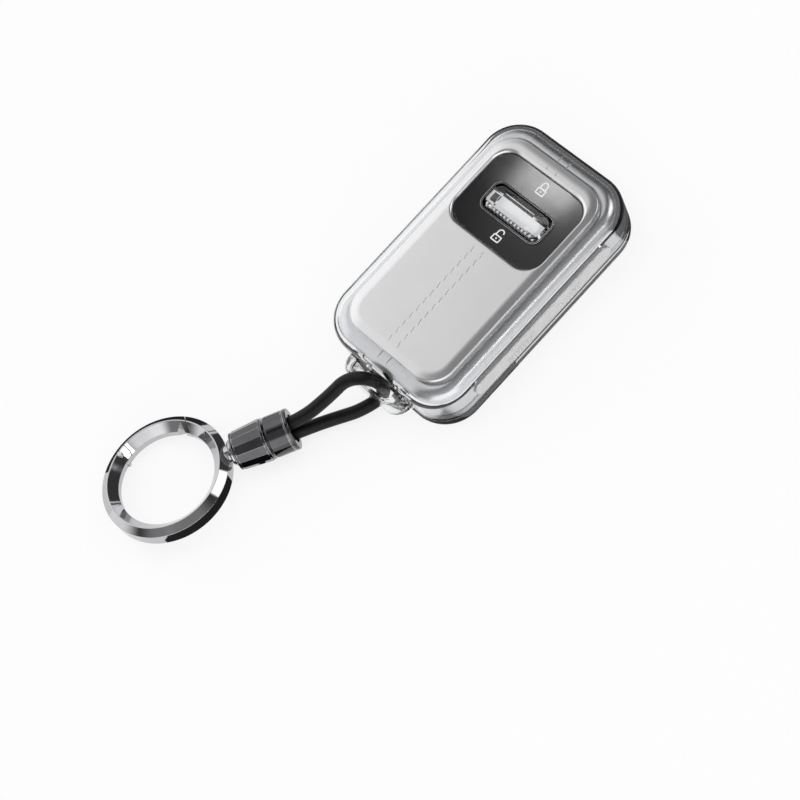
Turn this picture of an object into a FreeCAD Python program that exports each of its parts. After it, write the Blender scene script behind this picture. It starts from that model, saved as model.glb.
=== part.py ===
import FreeCAD, Part
import math
import os

V = FreeCAD.Vector
os.makedirs("parts", exist_ok=True)

# All lengths are in millimetres and all angles in degrees.
# The cover lies on its back: X runs along it to the button end, Z points out of its face.
# The origin is the middle of the back face.

# Cover outline and heights
cover_half_length = 40.0
cover_half_width = 23.5
cover_corner = 11.3
wall = 1.6
parting_height = 5.0
shell_top = 18.6
shoulder_radius = 4.5
window_edge_radius = 0.4
back_edge_radius = 3.0
parting_edge_radius = 0.3
overrun = 10.0

# Fits between the pieces
part_gap = 0.1
fit_gap = 0.05
pin_gap = 0.04
screw_gap = 0.03
same_height = 0.002

# Back half
lip_thickness = 0.9
lip_rise = 2.4
lip_top = parting_height + lip_rise
back_floor = 1.6
back_plate_thickness = 0.8
back_plate_drop = 0.2
back_plate_top = lip_top - back_plate_drop

# Silver face plate
plateau_margin_x = 5.6
plateau_margin_y = 5.2
plateau_half_length = cover_half_length - plateau_margin_x
plateau_half_width = cover_half_width - plateau_margin_y
plateau_corner = 7.4
plateau_proud = 0.8
plateau_top = shell_top + plateau_proud
plateau_slope_width = 2.1
plateau_slope_drop = 0.4
plateau_slope_radius = 6.0
plateau_edge_radius = 0.35
plateau_side = 0.6
plateau_sheet = 1.2
plate_thickness = 1.0
skirt_gap = 0.3
skirt_bottom = lip_top + skirt_gap

# Button panel
panel_margin_x = 4.7
panel_margin_y = 2.4
panel_half_length = 12.3
panel_half_width = plateau_half_width - panel_margin_y
panel_x = plateau_half_length - panel_margin_x - panel_half_length
panel_corner = 5.5
panel_roll_radius = 1.1
panel_flange = 1.2
bezel_drop = 0.9
bezel_thickness = 2.3
bezel_top = plateau_top - bezel_drop
bezel_bottom = bezel_top - bezel_thickness
dish_depth = 1.15
dish_lowest = bezel_top - dish_depth
dish_radius = 140.0

# Engraved stitch lines on the face plate
stitch_spacing = 3.3
stitch_pitch = 2.7
stitch_length = 1.8
stitch_width = 0.3
stitch_slant = 12.0
stitch_depth = 0.12
stitch_margin = 2.8
stitch_low_start = stitch_margin - plateau_half_length
stitch_low_count = 13
strip_stitch_length = 1.2
end_stitch_start = 0.3
end_stitch_length = 1.9
end_stitch_depth = 0.3

# Rocker and its trim frame
rocker_shift = 0.4
rocker_x = panel_x - rocker_shift
rocker_half_length = 3.6
rocker_half_width = 9.6
rocker_side_gap = 0.75
trim_wall = 0.5
trim_corner = 2.2
trim_proud = 0.35
crystal_proud = 0.8
crystal_top = plateau_top + crystal_proud
crystal_slope = 1.5
crystal_corner = 1.6
table_half_length = 1.7
table_half_width = 5.8
table_corner = 0.8
frame_corner = 0.7
frame_thickness = 1.0
frame_rise = 0.4
frame_top = bezel_bottom + frame_rise
rib_count = 14
rib_pitch = 1.3
rib_width = 0.65
rib_height = 0.75
rib_length = 1.4
pivot_drop = 1.7
pivot_height = frame_top - pivot_drop
pin_radius = 0.75
pin_overlap = 1.35
hub_radius = 1.3
hub_web_half = 1.0
leg_offset = 2.9
leg_half_length = 0.55
leg_half_width = 2.0
leg_length = 2.6
leg_bottom = frame_top - leg_length

# Bezel ears and posts, mat and retainer
ear_thickness = 1.5
ear_half_length = 1.7
ear_drop = 1.5
ear_bottom = pivot_height - ear_drop
post_inset_x = 2.7
post_inset_y = 2.2
post_offset_x = panel_half_length - post_inset_x
post_offset_y = panel_half_width - post_inset_y
post_radius = 1.5
pad_height = 1.6
retainer_top = leg_bottom - pad_height
retainer_thickness = 0.8
retainer_inset_x = 0.7
retainer_inset_y = 0.2
retainer_half_length = panel_half_length - retainer_inset_x
retainer_half_width = panel_half_width - retainer_inset_y
retainer_corner = 2.0
mat_thickness = 0.6
mat_half_length = 5.6
mat_half_width = 6.0
mat_corner = 1.5
dome_base_radius = 1.9
dome_top_radius = 1.3
nub_radius = 1.1
nub_length = 1.6
nub_bottom = retainer_top - nub_length
screw_radius = 0.6
screw_grip = 3.6
screw_head_radius = 1.25
screw_head_height = 0.7
screw_end = retainer_top + screw_grip
cross_length = 1.5
cross_width = 0.35
cross_depth = 0.4

# Side grips
grip_half_length = 26.4
grip_half_height = 2.7
grip_rise = 4.9
grip_height = parting_height + grip_rise
grip_recess = 0.6
grip_proud = 0.15
grip_group_x = 9.45
grip_rib_count = 8
grip_rib_pitch = 1.21
grip_rib_radius = 0.42
grip_rib_half_height = 1.1
grip_rib_drop = 1.2
grip_rib_z = grip_height - grip_rib_drop

# Cord lug
lug_half_width = 10.2
lug_corner = 4.6
lug_reach = 5.2
lug_bar = 1.4
lug_rise = 0.2
lug_height = 8.7
lug_bottom = parting_height + lug_rise
lug_top = lug_bottom + lug_height
lug_edge_radius = 0.65
lug_side = 3.0
lug_hole_half_width = lug_half_width - lug_side
lug_hole_corner = 2.0
lug_hole_length = 4.5
lug_root = 12.0
lug_end = -cover_half_length - lug_reach
hole_x = lug_end + lug_bar + lug_hole_length / 2

# Lanyard placing: the ring's middle, the way to the lug and the ring's lean on the floor
ring_x = -98.4
ring_y = 29.2
lanyard_height = 6.2
lanyard_turn = -28.2
ring_lean = -9.7

# Ring, in its own plane round its middle
ring_inner = 14.2
ring_band = 4.5
crest_inset = 2.1
ring_outer = ring_inner + ring_band
ring_crest = ring_outer - crest_inset
ring_crest_flat = 0.3
ring_half_height = 3.4
ring_inner_half_wall = 0.9
ring_outer_half_wall = 1.8
hinge_inset = 2.6
ring_middle = ring_outer - hinge_inset
gate_nose_angle = 53.5
gate_hinge_angle = 133.0
gate_gap = 0.12
notch_offset = 1.7
notch_half_width = 1.3
notch_depth = 1.9
cheek_radius = 2.6
cheek_gap = 0.15
tongue_half_height = 0.75
tongue_gap = 0.1
tongue_radius = 2.1
gate_pin_radius = 0.7
spring_radius = 0.65
spring_bore = 0.35
spring_length = 2.8
boss_radius = 2.6
boss_inset = 1.6
boss_proud = 0.4
boss_start = ring_outer - boss_inset
boss_end = ring_outer + boss_proud

# Swivel and ferrule, as distances from the ring's middle along the lanyard
stud_radius = 1.5
stud_inset = 1.9
stud_start = ring_outer - stud_inset
stud_head_radius = 2.7
stud_head_length = 1.2
washer_radius = 3.8
washer_bevel = 0.45
washer_room = 1.5
ferrule_length = 9.65
ferrule_wall = 2.05
ferrule_start = boss_end + washer_room
ferrule_end = ferrule_start + ferrule_length
ferrule_wall_end = ferrule_start + ferrule_wall
ferrule_small_radius = 5.5
ferrule_large_radius = 6.15
ferrule_facets = 14
ferrule_rim = 0.7
ferrule_bore = 4.15
neck_radius = 4.6
neck_length = 2.6
neck_start = ferrule_end - neck_length
collar_groove = 0.6
collar_length = 6.85
collar_start = ferrule_end + collar_groove
collar_end = collar_start + collar_length
collar_radius = 5.95
collar_lip = 1.1
collar_groove_width = 0.35
collar_groove_depth = 0.3
plug_inset = 0.9
plug_length = 4.7
plug_start = ferrule_end - plug_inset
plug_end = plug_start + plug_length

# Cord, and the points of its way from the ferrule over the lug's bar and back under it
cord_radius = 1.9
cord_spacing = 4.25
cord_pair_turn = 75.0
cord_in_ferrule = 6.6
cord_run_share = 0.45
cord_upper_exit = 3.0
cord_lower_exit = 4.8
cord_over = 2.7
cord_under = 2.5
cord_set_out = 0.3
cord_route = [
    (-53.0, 6.9, 12.3),
    (-45.4, 3.3, lug_top + cord_over),
    (hole_x, -4.0, lug_top + cord_over),
    (hole_x - cord_set_out, -2.3, lug_bottom - cord_under),
    (-48.3, 1.9, 2.6),
    (-55.3, 5.7, 2.6),
]


def upright_edges(solid):
    return [e for e in solid.Edges if e.BoundBox.ZLength > e.BoundBox.XLength + e.BoundBox.YLength]


def block(x, y, half_x, half_y, corner, low, high):
    """A plate with upright rounded corners."""
    corner_point = V(x - half_x, y - half_y, low)
    solid = Part.makeBox(2 * half_x, 2 * half_y, high - low, corner_point)
    return solid.makeFillet(corner, upright_edges(solid))


def cover_block(inset, low, high):
    """The cover's outline, drawn in by an inset."""
    half_x = cover_half_length - inset
    half_y = cover_half_width - inset
    return block(0, 0, half_x, half_y, cover_corner - inset, low, high)


def level_edges(solid, height):
    """The edges that lie flat at a height."""
    found = []
    for edge in solid.Edges:
        box = edge.BoundBox
        if abs(box.ZMin - height) + abs(box.ZMax - height) < same_height:
            found.append(edge)
    return found


def rounded_at(solid, radius, height):
    """The solid with its edges at a height rounded."""
    return solid.makeFillet(radius, level_edges(solid, height))


def rod(start, way, radius, length):
    return Part.makeCylinder(radius, length, start, way)


def slot(half_length, half_height, near, far, height):
    """An upright slot with round ends, cut across the cover's width from near to far."""
    straight = half_length - half_height
    depth = far - near
    solid = Part.makeBox(2 * straight, depth, 2 * half_height, V(-straight, near, height - half_height))
    for end in (-straight, straight):
        solid = solid.fuse(rod(V(end, near, height), V(0, 1, 0), half_height, depth))
    return solid.removeSplitter()


def keep(name, solid):
    """Writes a piece to its own file."""
    solid = solid.removeSplitter()
    if solid.ShapeType != "Solid" and len(solid.Solids) == 1:
        solid = solid.Solids[0]
    solid.exportStep("parts/" + name + ".step")
    print(name, "solids", len(solid.Solids), "valid", solid.isValid(), "volume", round(solid.Volume, 2))
    return solid


# Back half
back_inner = wall + part_gap + lip_thickness
back = rounded_at(cover_block(0, 0, parting_height), back_edge_radius, 0)
back = rounded_at(back, parting_edge_radius, parting_height)
back = back.fuse(cover_block(wall + part_gap, back_floor, lip_top))
back_hollow = cover_block(back_inner, back_floor, lip_top + overrun)
back_shell = keep("back_shell", back.cut(rounded_at(back_hollow, back_floor, back_floor)))

liner_outer = cover_block(back_inner + fit_gap, back_floor + fit_gap, back_plate_top)
liner_outer = rounded_at(liner_outer, back_floor, back_floor + fit_gap)
liner_inset = back_inner + fit_gap + back_plate_thickness
liner_floor = back_floor + fit_gap + back_plate_thickness
liner_hollow = cover_block(liner_inset, liner_floor, back_plate_top + overrun)
liner_hollow = rounded_at(liner_hollow, back_floor - back_plate_thickness, liner_floor)
back_plate = keep("back_plate", liner_outer.cut(liner_hollow))

# Clear front shell with its lug
front = rounded_at(cover_block(0, parting_height, shell_top), shoulder_radius, shell_top)
front = rounded_at(front, parting_edge_radius, parting_height)
lug_half_length = (lug_reach + lug_root) / 2
lug_x = lug_end + lug_half_length
lug = block(lug_x, 0, lug_half_length, lug_half_width, lug_corner, lug_bottom, lug_top)
hole_half_length = lug_hole_length / 2
lug = lug.cut(
    block(hole_x, 0, hole_half_length, lug_hole_half_width, lug_hole_corner,
          lug_bottom - overrun, lug_top + overrun)
)
lug = rounded_at(lug, lug_edge_radius, lug_top)
lug = rounded_at(lug, lug_edge_radius, lug_bottom)
front = front.fuse(lug)
front = front.cut(
    block(hole_x, 0, hole_half_length, lug_hole_half_width, lug_hole_corner,
          lug_bottom - overrun, shell_top + overrun)
)
front_hollow = cover_block(wall, parting_height - overrun, shell_top - wall)
front = front.cut(rounded_at(front_hollow, shoulder_radius - wall, shell_top - wall))
window = block(0, 0, plateau_half_length + part_gap, plateau_half_width + part_gap,
               plateau_corner + part_gap, parting_height, shell_top + overrun)
front = front.cut(window)
window_edges = []
for edge in level_edges(front, shell_top):
    box = edge.BoundBox
    if max(abs(box.XMin), abs(box.XMax)) < plateau_half_length + fit_gap + part_gap:
        if max(abs(box.YMin), abs(box.YMax)) < plateau_half_width + fit_gap + part_gap:
            window_edges.append(edge)
front = front.makeFillet(window_edge_radius, window_edges)
grip_floor = cover_half_width - grip_recess
grip_cut = slot(grip_half_length, grip_half_height, grip_floor, cover_half_width + overrun, grip_height)
half_turn = 180
for turn in (0, half_turn):
    cutter = grip_cut.copy()
    cutter.rotate(V(0, 0, 0), V(0, 0, 1), turn)
    front = front.cut(cutter)
front_shell = keep("front_shell", front)

# Grips in the long sides, ribs in two groups
grip_face = cover_half_width + grip_proud
grip = slot(grip_half_length - fit_gap, grip_half_height - fit_gap, grip_floor, grip_face, grip_height)
for group in (-grip_group_x, grip_group_x):
    for i in range(grip_rib_count):
        x = group + (i - (grip_rib_count - 1) / 2) * grip_rib_pitch
        foot = V(x, grip_face, grip_rib_z - grip_rib_half_height)
        grip = grip.fuse(rod(foot, V(0, 0, 1), grip_rib_radius, 2 * grip_rib_half_height))
grip = grip.removeSplitter()
side_grip_left = keep("side_grip_left", grip)
grip_other = grip.copy()
grip_other.rotate(V(0, 0, 0), V(0, 0, 1), half_turn)
side_grip_right = keep("side_grip_right", grip_other)

# Silver face plate


def rounded_outline(half_x, half_y, corner, height):
    """A rounded rectangle round the cover's middle."""
    outline = block(0, 0, half_x, half_y, corner, height - overrun, height)
    return Part.Wire(Part.__sortEdges__(level_edges(outline, height)))


def edge_trim():
    """What is taken off the plateau, so that its top falls away gently towards its edge."""
    low = plateau_top - plateau_slope_drop
    trim_bottom = low - plateau_side
    half_x = plateau_half_length - plateau_slope_width
    half_y = plateau_half_width - plateau_slope_width
    corner = plateau_corner - plateau_slope_width
    foot = rounded_outline(plateau_half_length, plateau_half_width, plateau_corner, low)
    crown = Part.makeLoft([foot, rounded_outline(half_x, half_y, corner, plateau_top)], True, True)
    crown = crown.fuse(
        block(0, 0, plateau_half_length, plateau_half_width, plateau_corner, trim_bottom, low)
    )
    crown = rounded_at(crown.removeSplitter(), plateau_slope_radius, plateau_top)
    crown = rounded_at(crown, plateau_edge_radius, low)
    return cover_block(0, trim_bottom, plateau_top + overrun).cut(crown)


plate_inset = wall + part_gap
plate_top = shell_top - plate_inset
plate = cover_block(plate_inset, skirt_bottom, plate_top)
plate = rounded_at(plate, shoulder_radius - plate_inset, plate_top)
plate = plate.fuse(
    block(0, 0, plateau_half_length, plateau_half_width, plateau_corner, skirt_bottom, plateau_top)
)
hollow_inset = plate_inset + plate_thickness
hollow_top = plate_top - plate_thickness
plate_hollow = cover_block(hollow_inset, skirt_bottom - overrun, hollow_top)
plate = plate.cut(rounded_at(plate_hollow, shoulder_radius - hollow_inset, hollow_top))
sheet_bottom = plateau_top - plateau_sheet
plate = plate.cut(
    block(0, 0, plateau_half_length - plateau_sheet, plateau_half_width - plateau_sheet,
          plateau_corner - plateau_sheet, skirt_bottom, sheet_bottom)
)
opening = block(panel_x, 0, panel_half_length, panel_half_width, panel_corner, skirt_bottom,
                plateau_top + overrun)
plate = plate.cut(opening)
panel_low_x = panel_x - panel_half_length
panel_high_x = panel_x + panel_half_length
rim = []
for edge in level_edges(plate, plateau_top):
    box = edge.BoundBox
    if box.XMin > panel_low_x - fit_gap and box.XMax < panel_high_x + fit_gap:
        if abs(box.YMin) < panel_half_width + fit_gap and abs(box.YMax) < panel_half_width + fit_gap:
            rim.append(edge)
plate = plate.makeFillet(panel_roll_radius, rim)
plate = plate.cut(edge_trim())


def stitch(x, y, length, bottom, slant):
    """A slot from x on, turned about its middle by the slant."""
    slot = Part.makeBox(length, stitch_width, overrun, V(x, y - stitch_width / 2, bottom))
    slot.rotate(V(x + length / 2, y, bottom), V(0, 0, 1), slant)
    return slot


stitches = []
stitch_bottom = plateau_top - stitch_depth
strip_stitch_x = panel_high_x + panel_roll_radius + part_gap
end_stitch_x = plateau_half_length + end_stitch_start
end_stitch_bottom = plate_top - end_stitch_depth
for side in (-1, 1):
    y = side * stitch_spacing / 2
    for i in range(stitch_low_count):
        x = stitch_low_start + i * stitch_pitch
        stitches.append(stitch(x, y, stitch_length, stitch_bottom, stitch_slant))
    stitches.append(stitch(strip_stitch_x, y, strip_stitch_length, stitch_bottom, stitch_slant))
    for x in (-end_stitch_x - end_stitch_length, end_stitch_x):
        stitches.append(stitch(x, y, end_stitch_length, end_stitch_bottom, 0))
plate = plate.cut(Part.makeCompound(stitches))
face_plate = keep("face_plate", plate)

# Dark dished bezel with its ears and posts
bezel = block(panel_x, 0, panel_half_length - part_gap, panel_half_width - part_gap,
              panel_corner - part_gap, bezel_bottom, bezel_top)
flange_top = sheet_bottom - fit_gap
bezel = bezel.fuse(
    block(panel_x, 0, panel_half_length + panel_flange, panel_half_width + panel_flange,
          panel_corner + panel_flange, bezel_bottom, flange_top)
)
dish_middle = V(panel_x, 0, dish_lowest + dish_radius)
bezel = bezel.cut(Part.makeSphere(dish_radius, dish_middle))
trim_inner_x = rocker_half_length + rocker_side_gap
trim_inner_y = rocker_half_width + rocker_side_gap
trim_outer_x = trim_inner_x + trim_wall
trim_outer_y = trim_inner_y + trim_wall
bezel_hole_x = trim_outer_x + fit_gap
bezel_hole_y = trim_outer_y + fit_gap
bezel = bezel.cut(
    block(rocker_x, 0, bezel_hole_x, bezel_hole_y, trim_corner + trim_wall + fit_gap,
          bezel_bottom - overrun, bezel_top + overrun)
)
pin_half_length = bezel_hole_y + pin_overlap
for side in (-1, 1):
    near = bezel_hole_y if side > 0 else -bezel_hole_y - ear_thickness
    ear = Part.makeBox(2 * ear_half_length, ear_thickness, bezel_bottom - ear_bottom,
                       V(rocker_x - ear_half_length, near, ear_bottom))
    bezel = bezel.fuse(ear)
pin_start = V(rocker_x, -pin_half_length, pivot_height)
bezel = bezel.cut(rod(pin_start, V(0, 1, 0), pin_radius + screw_gap, 2 * pin_half_length))
post_places = []
for side_x in (-1, 1):
    for side_y in (-1, 1):
        post_places.append(V(panel_x + side_x * post_offset_x, side_y * post_offset_y, 0))
for place in post_places:
    foot = V(place.x, place.y, retainer_top)
    bezel = bezel.fuse(rod(foot, V(0, 0, 1), post_radius, bezel_bottom - retainer_top))
for place in post_places:
    foot = V(place.x, place.y, retainer_top)
    bezel = bezel.cut(rod(foot, V(0, 0, 1), screw_radius + screw_gap, screw_end + screw_gap - retainer_top))
button_bezel = keep("button_bezel", bezel)

# Thin frame round the rocker, following the dish
trim = block(rocker_x, 0, trim_outer_x, trim_outer_y, trim_corner + trim_wall, bezel_bottom, bezel_top)
trim = trim.cut(
    block(rocker_x, 0, trim_inner_x, trim_inner_y, trim_corner, bezel_bottom - overrun,
          bezel_top + overrun)
)
trim = trim.cut(Part.makeSphere(dish_radius, dish_middle + V(0, 0, trim_proud)))
rocker_trim = keep("rocker_trim", trim)

# Rocker: crystal on a ribbed carrier that turns on the pin
crystal_bottom = frame_top + fit_gap
slope_bottom = crystal_top - crystal_slope


def cut_corner_outline(half_x, half_y, corner, height):
    """A rectangle with its corners cut off, round the rocker's middle."""
    points = []
    for x, y in ((1, 1), (-1, 1), (-1, -1), (1, -1)):
        side = V(rocker_x + x * half_x, y * (half_y - corner), height)
        end = V(rocker_x + x * (half_x - corner), y * half_y, height)
        points += [side, end] if x * y > 0 else [end, side]
    return Part.makePolygon(points + points[:1])


outlines = [
    cut_corner_outline(rocker_half_length, rocker_half_width, crystal_corner, crystal_bottom),
    cut_corner_outline(rocker_half_length, rocker_half_width, crystal_corner, slope_bottom),
    cut_corner_outline(table_half_length, table_half_width, table_corner, crystal_top),
]
crystal = Part.makeLoft(outlines, True, True)
rib_room = rib_length + part_gap
rabbet = Part.makeBox(rib_room + overrun, 2 * rocker_half_width + overrun, rib_height + part_gap,
                      V(rocker_x - rocker_half_length - overrun, -rocker_half_width - overrun / 2,
                        crystal_bottom))
rocker_crystal = keep("rocker_crystal", crystal.cut(rabbet))

frame_half_x = rocker_half_length - fit_gap
frame_half_y = rocker_half_width - fit_gap
frame = block(rocker_x, 0, frame_half_x, frame_half_y, frame_corner, frame_top - frame_thickness, frame_top)
hub_start = V(rocker_x, -frame_half_y, pivot_height)
frame = frame.fuse(rod(hub_start, V(0, 1, 0), hub_radius, 2 * frame_half_y))
web = Part.makeBox(2 * hub_web_half, 2 * frame_half_y, frame_top - pivot_height,
                   V(rocker_x - hub_web_half, -frame_half_y, pivot_height))
frame = frame.fuse(web)
for side in (-1, 1):
    corner = V(rocker_x + side * leg_offset - leg_half_length, -leg_half_width, leg_bottom)
    leg = Part.makeBox(2 * leg_half_length, 2 * leg_half_width, frame_top - leg_bottom, corner)
    frame = frame.fuse(leg)
for i in range(rib_count):
    y = (i - (rib_count - 1) / 2) * rib_pitch - rib_width / 2
    corner = V(rocker_x - frame_half_x, y, frame_top - frame_thickness)
    frame = frame.fuse(Part.makeBox(rib_length, rib_width, frame_thickness + rib_height, corner))
frame = frame.cut(rod(pin_start, V(0, 1, 0), pin_radius + pin_gap, 2 * pin_half_length))
rocker_frame = keep("rocker_frame", frame)

rocker_pin = keep("rocker_pin", rod(pin_start, V(0, 1, 0), pin_radius, 2 * pin_half_length))

# Silicone mat, its retainer and the four screws
mat_top = retainer_top + mat_thickness
mat = block(rocker_x, 0, mat_half_length, mat_half_width, mat_corner, retainer_top, mat_top)
dome_height = leg_bottom - fit_gap - mat_top
for side in (-1, 1):
    x = rocker_x + side * leg_offset
    dome = Part.makeCone(dome_base_radius, dome_top_radius, dome_height, V(x, 0, mat_top), V(0, 0, 1))
    nub = rod(V(x, 0, nub_bottom), V(0, 0, 1), nub_radius, mat_top - nub_bottom)
    mat = mat.fuse(dome).fuse(nub)
keypad_mat = keep("keypad_mat", mat)

retainer_bottom = retainer_top - retainer_thickness
retainer = block(panel_x, 0, retainer_half_length, retainer_half_width, retainer_corner,
                 retainer_bottom, retainer_top)
for side in (-1, 1):
    foot = V(rocker_x + side * leg_offset, 0, retainer_bottom - overrun)
    retainer = retainer.cut(rod(foot, V(0, 0, 1), nub_radius + part_gap, 2 * overrun))
for place in post_places:
    foot = V(place.x, place.y, retainer_bottom - overrun)
    retainer = retainer.cut(rod(foot, V(0, 0, 1), screw_radius + part_gap, 2 * overrun))
mat_retainer = keep("mat_retainer", retainer)

screws = []
for place in post_places:
    head_bottom = retainer_bottom - screw_head_height
    foot = V(place.x, place.y, head_bottom)
    screw = rod(foot, V(0, 0, 1), screw_head_radius, screw_head_height)
    screw = screw.fuse(rod(foot, V(0, 0, 1), screw_radius, screw_end - head_bottom))
    for size_x, size_y in ((cross_length, cross_width), (cross_width, cross_length)):
        at = V(place.x - size_x / 2, place.y - size_y / 2, head_bottom - overrun)
        screw = screw.cut(Part.makeBox(size_x, size_y, overrun + cross_depth, at))
    screws.append(screw.removeSplitter())
retainer_screws = keep("retainer_screws", Part.makeCompound(screws))

# Lanyard pieces are drawn along X from the ring's middle, then placed.
ALONG = V(1, 0, 0)
UP = V(0, 0, 1)


def placed(solid, lean):
    """Leans a piece about the lanyard's line and sets it on the floor beside the cover."""
    solid = solid.copy()
    solid.rotate(V(0, 0, 0), ALONG, lean)
    solid.rotate(V(0, 0, 0), UP, lanyard_turn)
    solid.translate(V(ring_x, ring_y, lanyard_height))
    return solid


def spindle(start, end, radius):
    return rod(V(start, 0, 0), ALONG, radius, end - start)


def ring_point(angle, radius):
    return V(radius * math.cos(math.radians(angle)), radius * math.sin(math.radians(angle)), 0)


# Ring with a spring gate
full_turn = 360
half_flat = ring_crest_flat / 2
profile = [
    V(ring_inner, 0, -ring_inner_half_wall),
    V(ring_inner, 0, ring_inner_half_wall),
    V(ring_crest - half_flat, 0, ring_half_height),
    V(ring_crest + half_flat, 0, ring_half_height),
    V(ring_outer, 0, ring_outer_half_wall),
    V(ring_outer, 0, -ring_outer_half_wall),
    V(ring_crest + half_flat, 0, -ring_half_height),
    V(ring_crest - half_flat, 0, -ring_half_height),
]
section = Part.Face(Part.makePolygon(profile + profile[:1]))
whole_ring = section.revolve(V(0, 0, 0), UP, full_turn)
hinge = ring_point(gate_hinge_angle, ring_middle)
nose = ring_point(gate_nose_angle, ring_middle)
chord = nose - hinge
chord.normalize()
gate_side = V(-chord.y, chord.x, 0)
reach = 2 * ring_outer


def upright(middle, radius, half_height):
    return rod(middle - UP * half_height, UP, radius, 2 * half_height)


def gate_reach(offset):
    """What lies on the nose's side of the hinge, out to the nose plus an offset."""
    length = (nose - hinge).Length + offset
    box = Part.makeBox(reach, 2 * reach, 2 * reach, V(0, -reach, -reach))
    box.rotate(V(0, 0, 0), UP, math.degrees(math.atan2(chord.y, chord.x)))
    box.translate(hinge)
    return box.common(upright(hinge, length, reach))


whole_cheek = upright(hinge, cheek_radius + cheek_gap, reach)
gate = whole_ring.common(gate_reach(0).cut(whole_cheek))
gate = [s for s in gate.Solids if s.CenterOfMass.dot(gate_side) > 0][0]
slab = Part.makeBox(2 * reach, 2 * reach, 2 * tongue_half_height, V(-reach, -reach, -tongue_half_height))
tongue = whole_ring.common(slab).common(upright(hinge, cheek_radius + 2 * cheek_gap, reach))
gate_half = Part.makeBox(reach, 2 * reach, 2 * reach, V(0, -reach, -reach))
gate_half.rotate(V(0, 0, 0), UP, gate_hinge_angle - full_turn / 4)
gate_half.translate(hinge)
tongue = tongue.common(gate_half)
tongue_end = upright(hinge, tongue_radius - tongue_gap, tongue_half_height)
gate = gate.fuse(tongue).fuse(tongue_end.common(whole_ring))
gate = gate.cut(upright(hinge, gate_pin_radius + pin_gap, reach))
notch_turn = gate_nose_angle + math.degrees(notch_offset / ring_inner)
notch_spread = math.degrees(notch_half_width / ring_inner)
notch_points = [
    ring_point(notch_turn, ring_inner + notch_depth),
    ring_point(notch_turn + notch_spread, ring_inner - part_gap),
    ring_point(notch_turn - notch_spread, ring_inner - part_gap),
]
notch = Part.Face(Part.makePolygon(notch_points + notch_points[:1]))
notch.translate(-UP * reach)
gate = gate.cut(notch.extrude(UP * 2 * reach))
ring_gate = keep("ring_gate", placed(gate, ring_lean))

body_zone = gate_reach(gate_gap)
body = whole_ring.cut(body_zone)
for piece in whole_ring.common(body_zone).Solids:
    if piece.CenterOfMass.dot(gate_side) < 0:
        body = body.fuse(piece)
body = body.fuse(upright(hinge, cheek_radius, ring_half_height).common(whole_ring))
slot_half = tongue_half_height + tongue_gap
body = body.cut(upright(hinge, tongue_radius + tongue_gap, slot_half))
slab = Part.makeBox(2 * reach, 2 * reach, 2 * slot_half, V(-reach, -reach, -slot_half))
slot_room = upright(hinge, cheek_radius + 3 * cheek_gap, reach)
slot_side = gate_half.copy()
slot_side.translate(ring_point(gate_hinge_angle + full_turn / 4, tongue_gap))
body = body.cut(slot_room.common(slot_side).common(slab))
spring_way = ring_point(gate_hinge_angle + full_turn / 4, ring_middle)
spring_way.normalize()
spring_start = hinge + spring_way * (tongue_radius - tongue_gap + fit_gap)
body = body.cut(rod(hinge, spring_way, spring_radius + fit_gap, tongue_radius + spring_length + fit_gap))
body = body.cut(upright(hinge, gate_pin_radius + screw_gap, reach))
body = body.fuse(spindle(boss_start, boss_end, boss_radius))
body = body.cut(spindle(stud_start - screw_gap, ferrule_end, stud_radius + screw_gap))
body = body.cut(upright(V(0, 0, 0), ring_inner, reach))
ring_body = keep("ring_body", placed(body, ring_lean))

gate_pin = keep("gate_pin", placed(upright(hinge, gate_pin_radius, ring_half_height - fit_gap), ring_lean))
spring = rod(spring_start, spring_way, spring_radius, spring_length)
spring = spring.cut(rod(spring_start, spring_way, spring_bore, spring_length))
gate_spring = keep("gate_spring", placed(spring, ring_lean))

# Swivel stud, washer and ferrule
head_start = ferrule_wall_end + fit_gap
stud = spindle(stud_start, head_start, stud_radius)
stud = stud.fuse(spindle(head_start, head_start + stud_head_length, stud_head_radius))
swivel_stud = keep("swivel_stud", placed(stud, ring_lean))

washer = spindle(boss_end + fit_gap, ferrule_start - fit_gap, washer_radius)
washer_rims = [e for e in washer.Edges if e.BoundBox.XLength < fit_gap]
washer = washer.makeChamfer(washer_bevel, washer_rims)
washer = washer.cut(spindle(boss_start, ferrule_end, stud_radius + pin_gap))
swivel_washer = keep("swivel_washer", placed(washer, 0))


def facet_ring(x, radius):
    points = []
    for i in range(ferrule_facets + 1):
        angle = 2 * math.pi * i / ferrule_facets
        points.append(V(x, radius * math.cos(angle), radius * math.sin(angle)))
    return Part.makePolygon(points)


cone_start = ferrule_start + ferrule_rim
cone_end = ferrule_end - ferrule_rim
facet_rings = [facet_ring(cone_start, ferrule_small_radius), facet_ring(cone_end, ferrule_large_radius)]
cone = Part.makeLoft(facet_rings, True, True)
inradius_share = math.cos(math.pi / ferrule_facets)
cone = cone.fuse(spindle(ferrule_start, cone_start, ferrule_small_radius * inradius_share))
cone = cone.fuse(spindle(cone_end, ferrule_end, ferrule_large_radius * inradius_share))
cone = cone.cut(spindle(ferrule_wall_end, ferrule_end + overrun, ferrule_bore))
cone = cone.cut(spindle(neck_start - fit_gap, ferrule_end + overrun, neck_radius + screw_gap))
cone = cone.cut(spindle(ferrule_start - overrun, ferrule_end, stud_radius + pin_gap))
ferrule_body = keep("ferrule_body", placed(cone, 0))

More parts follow.
